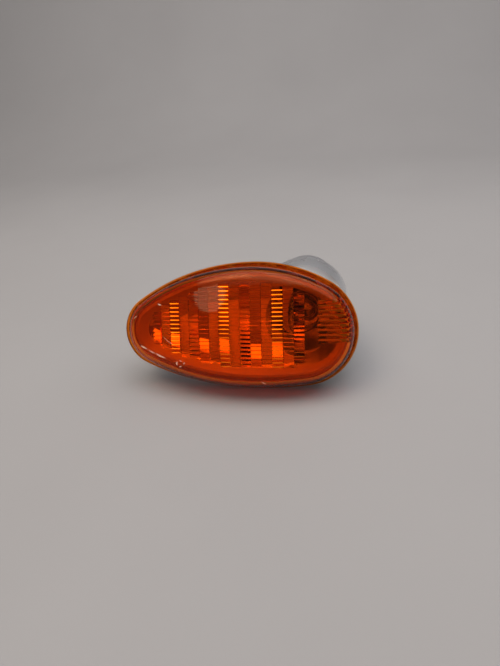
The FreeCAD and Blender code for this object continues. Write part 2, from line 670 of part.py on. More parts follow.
def blade(side, foot_near, foot_far, foot_width):
    """Flat push-on blade through the holder floor, with a foot bent along the floor."""
    half = BLADE_WIDTH / 2
    middle = side * BLADE_OFFSET
    corner = FreeCAD.Vector(-half, FOOT_FRONT, middle - BLADE_THICKNESS / 2)
    tongue = Part.makeBox(BLADE_WIDTH, BLADE_END - FOOT_FRONT, BLADE_THICKNESS, corner)
    tips = [
        edge
        for edge in tongue.Edges
        if edge.BoundBox.YMin > BLADE_END - SMALL and edge.BoundBox.ZLength > SMALL
    ]
    tongue = tongue.makeChamfer(BLADE_CHAMFER, tips)
    low = min(foot_near, foot_far)
    corner = FreeCAD.Vector(-foot_width / 2, FOOT_FRONT, low)
    foot = Part.makeBox(foot_width, BLADE_THICKNESS, abs(foot_far - foot_near), corner)
    return placed(tongue.fuse(foot).removeSplitter(), BULB_PLACEMENT)


def make_live_terminal():
    """Supply blade whose foot carries the spring."""
    spring_edge = -(SPRING_RADIUS + SPRING_WIRE / 2)
    return blade(1, spring_edge, BLADE_OFFSET, BLADE_WIDTH)


def make_earth_terminal():
    """Return blade whose foot meets the sleeve."""
    reach = math.sqrt(SLEEVE_BORE ** 2 - (EARTH_FOOT_WIDTH / 2) ** 2)
    return blade(-1, -BLADE_OFFSET, -reach, EARTH_FOOT_WIDTH)


PIECES = {
    "lens": make_lens,
    "rim_sealant": make_rim_sealant,
    "reflector_housing": make_reflector_housing,
    "bulb_glass": make_bulb_glass,
    "bulb_lead_wires": make_bulb_lead_wires,
    "bulb_filament": make_bulb_filament,
    "bulb_cap": make_bulb_cap,
    "bulb_pins": make_bulb_pins,
    "bulb_insulator": make_bulb_insulator,
    "bulb_contact": make_bulb_contact,
    "holder_body": make_holder_body,
    "holder_seal": make_holder_seal,
    "socket_sleeve": make_socket_sleeve,
    "contact_carrier": make_contact_carrier,
    "contact_plunger": make_contact_plunger,
    "contact_spring": make_contact_spring,
    "live_terminal": make_live_terminal,
    "earth_terminal": make_earth_terminal,
}

os.makedirs("parts", exist_ok=True)
for node, make in PIECES.items():
    make().exportStep("parts/" + node + ".step")
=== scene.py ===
"""Dressed model of a vehicle indicator lamp: amber lens, metallised housing, bulb and bulb holder."""
import logging
import math
from dataclasses import dataclass
from enum import Enum
from typing import Any, Sequence

import bpy
from mathutils import Matrix, Vector
from mathutils.bvhtree import BVHTree


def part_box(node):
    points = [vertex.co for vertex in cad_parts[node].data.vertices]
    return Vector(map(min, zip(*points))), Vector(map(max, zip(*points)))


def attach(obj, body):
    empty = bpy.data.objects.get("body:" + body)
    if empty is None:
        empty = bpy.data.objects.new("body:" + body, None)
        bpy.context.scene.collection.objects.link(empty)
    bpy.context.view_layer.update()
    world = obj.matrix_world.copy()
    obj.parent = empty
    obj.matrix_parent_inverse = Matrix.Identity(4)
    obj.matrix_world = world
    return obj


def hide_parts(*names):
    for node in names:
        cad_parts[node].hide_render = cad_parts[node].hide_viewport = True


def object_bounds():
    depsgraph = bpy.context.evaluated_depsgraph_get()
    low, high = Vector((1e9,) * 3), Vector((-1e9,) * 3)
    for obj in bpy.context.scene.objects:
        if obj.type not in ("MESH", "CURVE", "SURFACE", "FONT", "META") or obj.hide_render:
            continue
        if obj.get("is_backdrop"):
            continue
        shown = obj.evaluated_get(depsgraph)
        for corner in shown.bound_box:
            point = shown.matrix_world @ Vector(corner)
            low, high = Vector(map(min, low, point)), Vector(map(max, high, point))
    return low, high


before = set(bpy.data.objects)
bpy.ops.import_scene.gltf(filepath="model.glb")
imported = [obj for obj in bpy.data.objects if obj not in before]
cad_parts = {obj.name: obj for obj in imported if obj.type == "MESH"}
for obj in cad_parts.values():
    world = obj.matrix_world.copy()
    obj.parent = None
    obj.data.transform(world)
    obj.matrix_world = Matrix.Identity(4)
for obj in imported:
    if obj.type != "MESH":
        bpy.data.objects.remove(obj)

LOG = logging.getLogger("indicator_lamp")
MM = 0.001

# The rim plane of the housing crosses the lamp's middle here and leans back by the rake.
RIM_Y_MM = -34.0
RAKE_DEG = 22.0

# The bulb and its chamber share one axis, which runs from front to back.
BULB_X_MM = 44.5
BULB_Z_MM = 3.14

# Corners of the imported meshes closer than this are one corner, and edges sharper than this stay sharp.
WELD_MM = 0.002
SHARP_DEG = 30.0

# Colour sockets of the Mix node, which share their names with its other sockets.
MIX_FIRST = 6
MIX_SECOND = 7
MIX_RESULT = 2

# The sRGB curve: a straight toe, then a power.
SRGB_TOE_END = 0.04045
SRGB_TOE_SLOPE = 12.92
SRGB_OFFSET = 0.055
SRGB_POWER = 2.4


class Slot(Enum):
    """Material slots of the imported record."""

    AMBER = "amber_acrylic"
    METALLISED = "metallised_plastic"
    TUNGSTEN = "tungsten"


def to_linear(colour: str) -> tuple[float, float, float, float]:
    """Turn an sRGB hex colour into linear values.

    Args:
        colour: Six hex digits after a hash sign.

    Returns:
        Linear red, green, blue and an alpha of one.
    """
    linear = []
    for at in (1, 3, 5):
        part = int(colour[at:at + 2], 16) / 255
        if part <= SRGB_TOE_END:
            linear.append(part / SRGB_TOE_SLOPE)
        else:
            linear.append(((part + SRGB_OFFSET) / (1 + SRGB_OFFSET)) ** SRGB_POWER)
    return (linear[0], linear[1], linear[2], 1.0)


def add_node(
    tree: bpy.types.NodeTree, kind: str, inputs: dict[Any, Any] | None = None, **settings: Any
) -> Any:
    """Add one shader node with its settings, constants and links.

    Args:
        tree: Node tree that takes the node.
        kind: Blender's name of the node type.
        inputs: Sockets by name or number, each with a constant or with the socket that feeds it.
        settings: Properties of the node itself.

    Returns:
        The new node.
    """
    node = tree.nodes.new(kind)
    for name, value in settings.items():
        setattr(node, name, value)
    for name, value in (inputs or {}).items():
        socket = node.inputs[name]
        if isinstance(value, bpy.types.NodeSocket):
            tree.links.new(value, socket)
        else:
            socket.default_value = value
    return node


def per_metre(size_mm: float) -> float:
    """Scale of a pattern whose features are the given size apart."""
    return 1 / (size_mm * MM)


def rim_axes() -> tuple[Vector, Vector]:
    """Directions of the rim plane.

    Returns:
        The direction into the housing, square to the rim plane, and the direction up the plane.
    """
    rake = math.radians(RAKE_DEG)
    inward = Vector((0.0, math.cos(rake), -math.sin(rake)))
    up = Vector((0.0, math.sin(rake), math.cos(rake)))
    return inward, up


def direction(azimuth_deg: float, elevation_deg: float) -> Vector:
    """Direction from a place towards a light or the camera.

    Args:
        azimuth_deg: Turn from the front of the lamp towards its round end.
        elevation_deg: Angle above the level.

    Returns:
        A vector of length one.
    """
    turn = math.radians(azimuth_deg)
    rise = math.radians(elevation_deg)
    return Vector((math.sin(turn) * math.cos(rise), -math.cos(turn) * math.cos(rise), math.sin(rise)))


@dataclass(frozen=True)
class Finish:
    """Common ground of the finishes: a named material with one main shader."""

    name: str

    def start(self) -> tuple[bpy.types.Material, bpy.types.NodeTree, Any]:
        """Make the empty material.

        Returns:
            The material, its node tree and its main shader node.
        """
        material = bpy.data.materials.new(self.name)
        material.use_nodes = True
        tree = material.node_tree
        return material, tree, tree.nodes["Principled BSDF"]

    def place(self, tree: bpy.types.NodeTree) -> Any:
        """Socket that gives the point of the surface in the lamp's own frame, in metres."""
        return add_node(tree, "ShaderNodeTexCoord").outputs["Object"]


@dataclass(frozen=True)
class MouldedAcrylic(Finish):
    """Injection-moulded acrylic: clear, strongly tinted and glossy, dulled a little by weather and touch."""

    tint: str = "#FFA346"
    depth_tint: str = "#FEDF00"
    depth_density: float = 480.0
    sheen_tint: str = "#B89C74"
    roughness_low: float = 0.03
    roughness_high: float = 0.08
    wear_mm: float = 9.0
    wear_detail: float = 4.0
    wear_from: float = 0.35
    wear_to: float = 0.7
    ripple_mm: float = 7.0
    relief_mm: float = 0.02
    relief_strength: float = 1.0
    ior: float = 1.49

    def build(self) -> bpy.types.Material:
        """Make the material.

        Returns:
            The material.
        """
        material, tree, shader = self.start()
        place = self.place(tree)
        wear = add_node(
            tree, "ShaderNodeTexNoise",
            {"Vector": place, "Scale": per_metre(self.wear_mm), "Detail": self.wear_detail},
        )
        rough = add_node(
            tree, "ShaderNodeMapRange",
            {"Value": wear.outputs["Fac"], "From Min": self.wear_from, "From Max": self.wear_to,
             "To Min": self.roughness_low, "To Max": self.roughness_high},
        )
        ripple = add_node(tree, "ShaderNodeTexNoise", {"Vector": place, "Scale": per_metre(self.ripple_mm)})
        bump = add_node(
            tree, "ShaderNodeBump",
            {"Height": ripple.outputs["Fac"], "Strength": self.relief_strength,
             "Distance": self.relief_mm * MM},
        )
        shader.inputs["Base Color"].default_value = to_linear(self.tint)
        shader.inputs["IOR"].default_value = self.ior
        shader.inputs["Specular Tint"].default_value = to_linear(self.sheen_tint)
        shader.inputs["Transmission Weight"].default_value = 1.0
        tree.links.new(rough.outputs["Result"], shader.inputs["Roughness"])
        tree.links.new(bump.outputs["Normal"], shader.inputs["Normal"])
        depth = add_node(
            tree, "ShaderNodeVolumeAbsorption",
            {"Color": to_linear(self.depth_tint), "Density": self.depth_density},
        )
        tree.links.new(depth.outputs["Volume"], tree.nodes["Material Output"].inputs["Volume"])
        return material


@dataclass(frozen=True)
class MetallisedPlastic(Finish):
    """Vacuum-metallised moulded ABS: a thin aluminium skin, clouded and specked by age.

    The skin is dulled round the bulb and ends at the land of the rim, where bare plastic shows.
    """

    colour: str = "#F0F1F3"
    cloud: str = "#D6D9DE"
    speck: str = "#4A4C52"
    bare: str = "#DDD8CE"
    roughness_low: float = 0.14
    roughness_high: float = 0.27
    dulled: float = 0.2
    dull_near_mm: float = 20.0
    dull_far_mm: float = 36.0
    bulb_mm: tuple[float, float, float] = (BULB_X_MM, -28.4, BULB_Z_MM)
    # The real grain is finer. Drawn this coarse, it shows in the render.
    grain_mm: float = 0.9
    relief_mm: float = 0.012
    relief_strength: float = 0.1
    cloud_mm: float = 14.0
    cloud_detail: float = 5.0
    cloud_from: float = 0.3
    cloud_to: float = 0.7
    speck_pitch_mm: float = 5.0
    speck_radius_mm: float = 0.3
    land_depth_mm: float = 3.8

    def build(self) -> bpy.types.Material:
        """Make the material.

        Returns:
            The material.
        """
        material, tree, shader = self.start()
        place = self.place(tree)
        grain = add_node(tree, "ShaderNodeTexNoise", {"Vector": place, "Scale": per_metre(self.grain_mm)})
        cloud = add_node(
            tree, "ShaderNodeTexNoise",
            {"Vector": place, "Scale": per_metre(self.cloud_mm), "Detail": self.cloud_detail},
        )
        rough = add_node(
            tree, "ShaderNodeMapRange",
            {"Value": cloud.outputs["Fac"], "From Min": self.cloud_from, "From Max": self.cloud_to,
             "To Min": self.roughness_low, "To Max": self.roughness_high},
        )
        away = add_node(
            tree, "ShaderNodeVectorMath",
            {0: place, 1: tuple(Vector(self.bulb_mm) * MM)}, operation="DISTANCE",
        )
        heat = add_node(
            tree, "ShaderNodeMapRange",
            {"Value": away.outputs["Value"],
             "From Min": self.dull_near_mm * MM, "From Max": self.dull_far_mm * MM,
             "To Min": self.dulled, "To Max": 0.0},
        )
        matt = add_node(
            tree, "ShaderNodeMath", {0: rough.outputs["Result"], 1: heat.outputs["Result"]}, operation="ADD"
        )
        bump = add_node(
            tree, "ShaderNodeBump",
            {"Height": grain.outputs["Fac"], "Strength": self.relief_strength,
             "Distance": self.relief_mm * MM},
        )
        pits = add_node(
            tree, "ShaderNodeTexVoronoi", {"Vector": place, "Scale": per_metre(self.speck_pitch_mm)}
        )
        pitted = add_node(
            tree, "ShaderNodeMath",
            {0: pits.outputs["Distance"], 1: self.speck_radius_mm / self.speck_pitch_mm},
            operation="LESS_THAN",
        )
        inward, _ = rim_axes()
        depth = add_node(
            tree, "ShaderNodeVectorMath", {0: place, 1: tuple(inward)}, operation="DOT_PRODUCT"
        )
        land_end = (RIM_Y_MM * inward.y + self.land_depth_mm) * MM
        coated = add_node(
            tree, "ShaderNodeMath", {0: depth.outputs["Value"], 1: land_end}, operation="GREATER_THAN"
        )
        skin = add_node(
            tree, "ShaderNodeMix",
            {"Factor": cloud.outputs["Fac"],
             MIX_FIRST: to_linear(self.colour), MIX_SECOND: to_linear(self.cloud)},
            data_type="RGBA",
        )
        aged = add_node(
            tree, "ShaderNodeMix",
            {"Factor": pitted.outputs["Value"],
             MIX_FIRST: skin.outputs[MIX_RESULT], MIX_SECOND: to_linear(self.speck)},
            data_type="RGBA",
        )
        tone = add_node(
            tree, "ShaderNodeMix",
            {"Factor": coated.outputs["Value"],
             MIX_FIRST: to_linear(self.bare), MIX_SECOND: aged.outputs[MIX_RESULT]},
            data_type="RGBA",
        )
        tree.links.new(tone.outputs[MIX_RESULT], shader.inputs["Base Color"])
        tree.links.new(coated.outputs["Value"], shader.inputs["Metallic"])
        tree.links.new(matt.outputs["Value"], shader.inputs["Roughness"])
        tree.links.new(bump.outputs["Normal"], shader.inputs["Normal"])
        return material


@dataclass(frozen=True)
class BlownGlass(Finish):
    """Blown soda-lime glass: clear and smooth, or dark where it is the cap's glass foot."""

    tint: str = "#FFFFFF"
    roughness: float = 0.0
    transmission: float = 1.0
    ior: float = 1.51

    def build(self) -> bpy.types.Material:
        """Make the material.

        Returns:
            The material.
        """
        material, _, shader = self.start()
        shader.inputs["Base Color"].default_value = to_linear(self.tint)
        shader.inputs["Transmission Weight"].default_value = self.transmission
        shader.inputs["Roughness"].default_value = self.roughness
        shader.inputs["IOR"].default_value = self.ior
        return material


@dataclass(frozen=True)
class DrawnMetal(Finish):
    """Drawn, stamped or plated metal: fine draw lines give a soft, streaked gloss."""

    colour: str = "#C9A860"
    roughness: float = 0.3
    smoother_by: float = 0.1
    rougher_by: float = 0.12
    # Real draw lines are finer. Drawn this coarse, they show in the render.
    streak_mm: float = 0.4
    streak_stretch: tuple[float, float, float] = (1.0, 0.15, 1.0)

    def build(self) -> bpy.types.Material:
        """Make the material.

        Returns:
            The material.
        """
        material, tree, shader = self.start()
        stretch = add_node(
            tree, "ShaderNodeMapping", {"Vector": self.place(tree), "Scale": self.streak_stretch}
        )
        streak = add_node(
            tree, "ShaderNodeTexNoise",
            {"Vector": stretch.outputs["Vector"], "Scale": per_metre(self.streak_mm)},
        )
        rough = add_node(
            tree, "ShaderNodeMapRange",
            {"Value": streak.outputs["Fac"],
             "To Min": self.roughness - self.smoother_by, "To Max": self.roughness + self.rougher_by},
        )
        shader.inputs["Base Color"].default_value = to_linear(self.colour)
        shader.inputs["Metallic"].default_value = 1.0
        tree.links.new(rough.outputs["Result"], shader.inputs["Roughness"])
        return material


@dataclass(frozen=True)
class MouldedPolymer(Finish):
    """Moulded nylon, rubber, laminate or sealant: a fine matt grain with slight changes of tone."""

    colour: str = "#1C1C1E"
    shade: str = "#26262A"
    roughness: float = 0.5
    # The real grain is finer. Drawn this coarse, it shows in the render.
    grain_mm: float = 0.5
    grains_per_cloud: float = 12.0
    relief_mm: float = 0.02
    relief_strength: float = 0.3
    ior: float = 1.53

    def build(self) -> bpy.types.Material:
        """Make the material.

        Returns:
            The material.
        """
        material, tree, shader = self.start()
        place = self.place(tree)
        grain = add_node(tree, "ShaderNodeTexNoise", {"Vector": place, "Scale": per_metre(self.grain_mm)})
        cloud = add_node(
            tree, "ShaderNodeTexNoise",
            {"Vector": place, "Scale": per_metre(self.grains_per_cloud * self.grain_mm)},
        )
        tone = add_node(
            tree, "ShaderNodeMix",
            {"Factor": cloud.outputs["Fac"],
             MIX_FIRST: to_linear(self.colour), MIX_SECOND: to_linear(self.shade)},
            data_type="RGBA",
        )
        bump = add_node(
            tree, "ShaderNodeBump",
            {"Height": grain.outputs["Fac"], "Strength": self.relief_strength,
             "Distance": self.relief_mm * MM},
        )
        shader.inputs["Roughness"].default_value = self.roughness
        shader.inputs["IOR"].default_value = self.ior
        tree.links.new(tone.outputs[MIX_RESULT], shader.inputs["Base Color"])
        tree.links.new(bump.outputs["Normal"], shader.inputs["Normal"])
        return material


@dataclass(frozen=True)
class PaleCloth(Finish):
    """Woven cotton sheet, pale and matt, plain enough to read as an even floor."""

    colour: str = "#A5A2A3"
    shade: str = "#9D9A9B"
    cloud_mm: float = 160.0
    cloud_detail: float = 3.0
    # Real thread is finer. Drawn this coarse, it shows in the render.
    thread_mm: float = 0.7
    relief_mm: float = 0.05
    relief_strength: float = 0.4
    roughness: float = 0.95
    specular: float = 0.1

    def build(self) -> bpy.types.Material:
        """Make the material.

        Returns:
            The material.
        """
        material, tree, shader = self.start()
        place = self.place(tree)
        cloud = add_node(
            tree, "ShaderNodeTexNoise",
            {"Vector": place, "Scale": per_metre(self.cloud_mm), "Detail": self.cloud_detail},
        )
        tone = add_node(
            tree, "ShaderNodeMix",
            {"Factor": cloud.outputs["Fac"],
             MIX_FIRST: to_linear(self.colour), MIX_SECOND: to_linear(self.shade)},
            data_type="RGBA",
        )
        thread = add_node(tree, "ShaderNodeTexNoise", {"Vector": place, "Scale": per_metre(self.thread_mm)})
        bump = add_node(
            tree, "ShaderNodeBump",
            {"Height": thread.outputs["Fac"], "Strength": self.relief_strength,
             "Distance": self.relief_mm * MM},
        )
        shader.inputs["Roughness"].default_value = self.roughness
        shader.inputs["Specular IOR Level"].default_value = self.specular
        tree.links.new(tone.outputs[MIX_RESULT], shader.inputs["Base Color"])
        tree.links.new(bump.outputs["Normal"], shader.inputs["Normal"])
        return material


def dress(node: str, material: bpy.types.Material, sharp_deg: float = SHARP_DEG) -> bpy.types.Object:
    """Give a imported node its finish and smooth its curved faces.

    Args:
        node: Name of the node.
        material: Finish of the node.
        sharp_deg: Angle between faces above which an edge stays sharp.

    Returns:
        The node's object.
    """
    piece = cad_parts[node]
    piece.data.materials.clear()
    piece.data.materials.append(material)
    smooth(piece, sharp_deg)
    LOG.info("dressed %s with %s", node, material.name)
    return piece


def smooth(piece: bpy.types.Object, sharp_deg: float) -> None:
    """Shade a piece smooth between its sharp edges.

    Args:
        piece: Mesh object.
        sharp_deg: Angle between faces above which an edge stays sharp.
    """
    piece.data.polygons.foreach_set("use_smooth", [True] * len(piece.data.polygons))
    weld = piece.modifiers.new("weld", "WELD")
    weld.merge_threshold = WELD_MM * MM
    split = piece.modifiers.new("edges", "EDGE_SPLIT")
    split.split_angle = math.radians(sharp_deg)
    split.use_edge_sharp = False


def new_piece(
    name: str, points: Sequence[Vector], faces: Sequence[Sequence[int]], smooth_faces: bool = True
) -> bpy.types.Object:
    """Make a mesh object in the lamp's own frame.

    Args:
        name: Name of the piece.
        points: Corners in metres.
        faces: Corner numbers of each face.
        smooth_faces: Whether the faces are shaded smooth.

    Returns:
        The new object.
    """
    mesh = bpy.data.meshes.new(name)
    mesh.from_pydata([tuple(point) for point in points], [], [tuple(face) for face in faces])
    mesh.polygons.foreach_set("use_smooth", [smooth_faces] * len(mesh.polygons))
    piece = bpy.data.objects.new(name, mesh)
    bpy.context.scene.collection.objects.link(piece)
    return piece


def finish_piece(piece: bpy.types.Object, material: bpy.types.Material) -> None:
    """Give a new piece its finish and let it ride with the lamp.

    Args:
        piece: New piece.
        material: Finish of the piece.
    """
    piece.data.materials.append(material)
    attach(piece, "root")
    LOG.info("made %s with %s", piece.name, material.name)


def ribbon_faces(rows: int) -> list[list[int]]:
    """Faces of a strip whose corners come in pairs, one pair to a row.

    Args:
        rows: Number of pairs.

    Returns:
        Corner numbers of each face.
    """
    return [[2 * at, 2 * at + 1, 2 * at + 3, 2 * at + 2] for at in range(rows - 1)]


def tube_mesh(path: Sequence[Vector], radius: float, sides: int) -> tuple[list[Vector], list[list[int]]]:
    """Closed round tube along a path.

    Args:
        path: Points along the middle of the tube.
        radius: Radius of the tube.
        sides: Corners round the tube.

    Returns:
        Corners and faces of the tube.
    """
    points: list[Vector] = []
    last = len(path) - 1
    normal = (path[1] - path[0]).orthogonal().normalized()
    for at, middle in enumerate(path):
        along = (path[min(at + 1, last)] - path[max(at - 1, 0)]).normalized()
        normal = (normal - along * normal.dot(along)).normalized()
        side = along.cross(normal)
        for corner in range(sides):
            angle = 2 * math.pi * corner / sides
            points.append(middle + (normal * math.cos(angle) + side * math.sin(angle)) * radius)
    faces: list[list[int]] = []
    for at in range(last):
        for corner in range(sides):
            after = (corner + 1) % sides
            faces.append([
                at * sides + corner, at * sides + after, (at + 1) * sides + after, (at + 1) * sides + corner,
            ])
    faces.append(list(range(sides))[::-1])
    faces.append([last * sides + corner for corner in range(sides)])
    return points, faces


@dataclass(frozen=True)
class Scuff:
    """One scraped line on the lens, given by its points across the rim plane, and its widest breadth."""

    name: str
    path_mm: tuple[tuple[float, float], ...]
    width_mm: float


@dataclass
class LensAssembly:
    """Amber lens with its scuffs, and the sealant bead that holds it in the housing rim."""

    # Acrylic, moulded: a deep clear amber with a gloss.
    acrylic: MouldedAcrylic = MouldedAcrylic("amber_acrylic_moulded")
    # The same acrylic where it was scraped: pale, rough and no longer clear.
    scraped: MouldedPolymer = MouldedPolymer(
        "amber_acrylic_scraped", colour="#E2A27C", shade="#F6D8BE", roughness=0.7, grain_mm=0.3
    )
    # Butyl sealant, run into the groove: pale grey and matt.
    sealant: MouldedPolymer = MouldedPolymer(
        "butyl_sealant_run_in", colour="#B9B4A8", shade="#C4C0B6", roughness=0.6
    )
    scuffs: tuple[Scuff, ...] = (
        Scuff("scrape_low", ((-40.4, -9.6), (-38.6, -10.3), (-36.2, -11.2)), 1.1),
        Scuff("scrape_mid", ((-35.4, -11.7), (-33.4, -12.6), (-31.6, -13.2)), 0.8),
        Scuff("scrape_high", ((-31.0, -13.2), (-29.0, -14.3), (-25.3, -15.5)), 1.1),
        Scuff("chip_left", ((-18.8, -19.0), (-19.1, -17.9), (-18.5, -16.9)), 1.0),
        Scuff("chip_low", ((-17.8, -19.7), (-16.2, -19.3)), 0.7),
        Scuff("chip_right", ((-14.5, -17.1), (-15.1, -18.3)), 0.7),
        Scuff("chip_top", ((-17.3, -16.3), (-15.9, -16.7)), 0.45),
        Scuff("scratch_fine", ((-26.0, -4.0), (-23.4, -6.2), (-20.4, -8.0)), 0.22),
        Scuff("scratch_short", ((-44.0, 4.5), (-42.6, 5.8), (-41.6, 6.2)), 0.3),
        Scuff("fleck_tip", ((-28.3, 12.9), (-27.2, 12.4), (-26.2, 12.3)), 0.7),
        Scuff("fleck_low", ((25.6, -26.1), (26.6, -27.0), (27.8, -27.5)), 0.6),
    )
    lens_sharp_deg: float = 28.0
    search_from_mm: float = -40.0
    lift_mm: float = 0.03
    steps: int = 10
    # The breadth of a scuff swings by this share along its length, each scuff in its own rhythm.
    ragged_share: float = 0.25
    ragged_turn: float = 2.4
    ragged_turn_per_mm: float = 7.0
    end_share: float = 0.12

    def on_lens(self, tree: BVHTree, x: float, rise: float) -> tuple[Vector, Vector]:
        """Find the outer face of the lens over a point of the rim plane.

        Args:
            tree: Search tree of the lens.
            x: Place along the lens in mm.
            rise: Place up the rim plane in mm.

        Returns:
            The point on the lens and its outward normal.
        """
        inward, up = rim_axes()
        start = Vector((x, RIM_Y_MM, 0.0)) + up * rise + inward * self.search_from_mm
        point, normal, _, _ = tree.ray_cast(start * MM, inward)
        return point, normal if normal.dot(inward) < 0 else -normal

    def middles(self, scuff: Scuff) -> list[list[float]]:
        """Places along the middle of a scuff, in even shares of its path.

        Args:
            scuff: Path and breadth of the scuff.

        Returns:
            Places along the lens and up the rim plane, in mm.
        """
        spans = len(scuff.path_mm) - 1
        places = []
        for step in range(self.steps + 1):
            share = step * spans / self.steps
            at = min(int(share), spans - 1)
            here, after = scuff.path_mm[at], scuff.path_mm[at + 1]
            places.append([low + (high - low) * (share - at) for low, high in zip(here, after)])
        return places

    def scuff(self, tree: BVHTree, scuff: Scuff) -> tuple[list[Vector], list[list[int]]]:
        """Lay one scuff on the lens as a ribbon that narrows to its ends.

        Args:
            tree: Search tree of the lens.
            scuff: Path and breadth of the scuff.

        Returns:
            Corners and faces of the ribbon.
        """
        places = [self.on_lens(tree, x, rise) for x, rise in self.middles(scuff)]
        points: list[Vector] = []
        for step, (point, normal) in enumerate(places):
            along = places[min(step + 1, self.steps)][0] - places[max(step - 1, 0)][0]
            side = along.cross(normal).normalized()
            swing = math.sin(self.ragged_turn * step + self.ragged_turn_per_mm * scuff.width_mm)
            ragged = 1 - self.ragged_share + self.ragged_share * swing
            taper = self.end_share + math.sin(math.pi * step / self.steps)
            half = scuff.width_mm / 2 * taper * ragged
            lifted = point + normal * self.lift_mm * MM
            points += [lifted - side * half * MM, lifted + side * half * MM]
        return points, ribbon_faces(len(places))

    def build(self) -> None:
        """Dress the lens and its sealant and lay the scuffs."""
        lens = dress("lens", self.acrylic.build(), self.lens_sharp_deg)
        dress("rim_sealant", self.sealant.build())
        tree = BVHTree.FromPolygons(
            [vertex.co for vertex in lens.data.vertices], [face.vertices for face in lens.data.polygons]
        )
        scraped = self.scraped.build()
        for scuff in self.scuffs:
            finish_piece(new_piece(scuff.name, *self.scuff(tree, scuff)), scraped)


@dataclass
class HousingAssembly:
    """Metallised housing with rim, pan, chamber, neck and bosses, and the shoulder of the chamber."""

    # ABS, moulded and metallised: a dulled mirror with clouds and specks.
    skin: MetallisedPlastic = MetallisedPlastic("metallised_abs_moulded")
    shoulder_inner_mm: float = 18.6
    shoulder_outer_mm: float = 22.4
    shoulder_depth_mm: float = 5.65
    shoulder_wall_mm: float = 1.2
    shoulder_from_deg: float = 38.0
    shoulder_to_deg: float = 98.0
    shoulder_steps: int = 20

    def on_shoulder(self, turn: float, radius_mm: float, depth_mm: float) -> Vector:
        """Point of the shoulder, which lies along the rim plane.

        Args:
            turn: Angle round the chamber axis in radians.
            radius_mm: Distance from the chamber axis.
            depth_mm: Depth behind the rim plane.

        Returns:
            The point in metres.
        """
        rake = math.radians(RAKE_DEG)
        x = BULB_X_MM + radius_mm * math.cos(turn)
        z = BULB_Z_MM + radius_mm * math.sin(turn)
        y = RIM_Y_MM + depth_mm / math.cos(rake) + z * math.tan(rake)
        return Vector((x, y, z)) * MM

    def shoulder(self) -> tuple[list[Vector], list[list[int]]]:
        """Shape the shoulder that closes the front of the chamber over the pan.

        Returns:
            Corners and faces of the shoulder.
        """
        front = self.shoulder_depth_mm
        back = front + self.shoulder_wall_mm
        section = (
            (self.shoulder_inner_mm, front), (self.shoulder_outer_mm, front),
            (self.shoulder_outer_mm, back), (self.shoulder_inner_mm, back),
        )
        sweep = self.shoulder_to_deg - self.shoulder_from_deg
        points: list[Vector] = []
        for step in range(self.shoulder_steps + 1):
            turn = math.radians(self.shoulder_from_deg + sweep * step / self.shoulder_steps)
            points += [self.on_shoulder(turn, radius, depth) for radius, depth in section]
        corners = len(section)
        faces: list[list[int]] = [list(range(corners))]
        for step in range(self.shoulder_steps):
            here, after = corners * step, corners * (step + 1)
            for at in range(corners):
                beside = (at + 1) % corners
                faces.append([here + at, after + at, after + beside, here + beside])
        last = corners * self.shoulder_steps
        faces.append([last + at for at in reversed(range(corners))])
        return points, faces

    def build(self) -> None:
        """Dress the housing and close its shoulder."""
        skin = self.skin.build()
        dress("reflector_housing", skin)
        shoulder = new_piece("chamber_shoulder", *self.shoulder(), smooth_faces=False)
        finish_piece(shoulder, skin)


@dataclass
class BulbAssembly:
    """Bayonet bulb: glass, lead wires, filament, cap, pins, glass foot and solder button."""

    # Soda-lime glass, blown: clear, seen by its edges and gleams.
    glass: BlownGlass = BlownGlass("soda_glass_blown")
    # Dark glass, pressed into the foot of the cap: black with a soft gloss.
    foot: BlownGlass = BlownGlass("dark_glass_pressed", tint="#17130F", roughness=0.15, transmission=0.0)
    # Brass, drawn and nickel-plated: a warm grey gloss.
    brass: DrawnMetal = DrawnMetal("brass_nickel_plated_drawn", colour="#CFC6B2", roughness=0.28)
    # Steel wire, drawn: plain grey with a dull gloss.
    wire: DrawnMetal = DrawnMetal("steel_wire_drawn", colour="#A9A8A6", roughness=0.35)
    # Tungsten wire, drawn and wound: dark grey and almost matt.
    tungsten: DrawnMetal = DrawnMetal("tungsten_wire_drawn", colour="#6E6C6A", roughness=0.45)
    # Solder, run into a button: pale grey and slightly dull.
    solder: DrawnMetal = DrawnMetal("solder_cast", colour="#B4B4B2", roughness=0.4)
    pin_angle_deg: float = 50.0
    coil_reach_mm: float = 1.35
    coil_radius_mm: float = 0.38
    coil_wire_mm: float = 0.1
    coil_turns: int = 9
    coil_steps: int = 14
    wire_sides: int = 6

    def filament(self) -> None:
        """Wind the filament between the lead wires in place of its plain rod."""
        low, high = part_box("bulb_filament")
        turn = math.radians(self.pin_angle_deg)
        along = Vector((math.cos(turn), 0.0, -math.sin(turn)))
        bulb_axis = Vector((0.0, 1.0, 0.0))
        coil_axes = Matrix((along.cross(bulb_axis), bulb_axis, along)).transposed()
        path = []
        count = self.coil_turns * self.coil_steps
        for step in range(count + 1):
            angle = 2 * math.pi * step / self.coil_steps
            reach = self.coil_reach_mm * (2 * step / count - 1)
            path.append(Vector((
                self.coil_radius_mm * math.cos(angle), self.coil_radius_mm * math.sin(angle), reach,
            )))
        points = [(low + high) / 2 + coil_axes @ point * MM for point in path]
        coil = new_piece("filament_coil", *tube_mesh(points, self.coil_wire_mm * MM, self.wire_sides))
        finish_piece(coil, self.tungsten.build())
        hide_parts("bulb_filament")

    def build(self) -> None:
        """Dress the bulb."""
        dress("bulb_glass", self.glass.build())
        dress("bulb_insulator", self.foot.build())
        cap = self.brass.build()
        dress("bulb_cap", cap)
        dress("bulb_pins", cap)
        dress("bulb_lead_wires", self.wire.build())
        self.filament()
        dress("bulb_contact", self.solder.build())


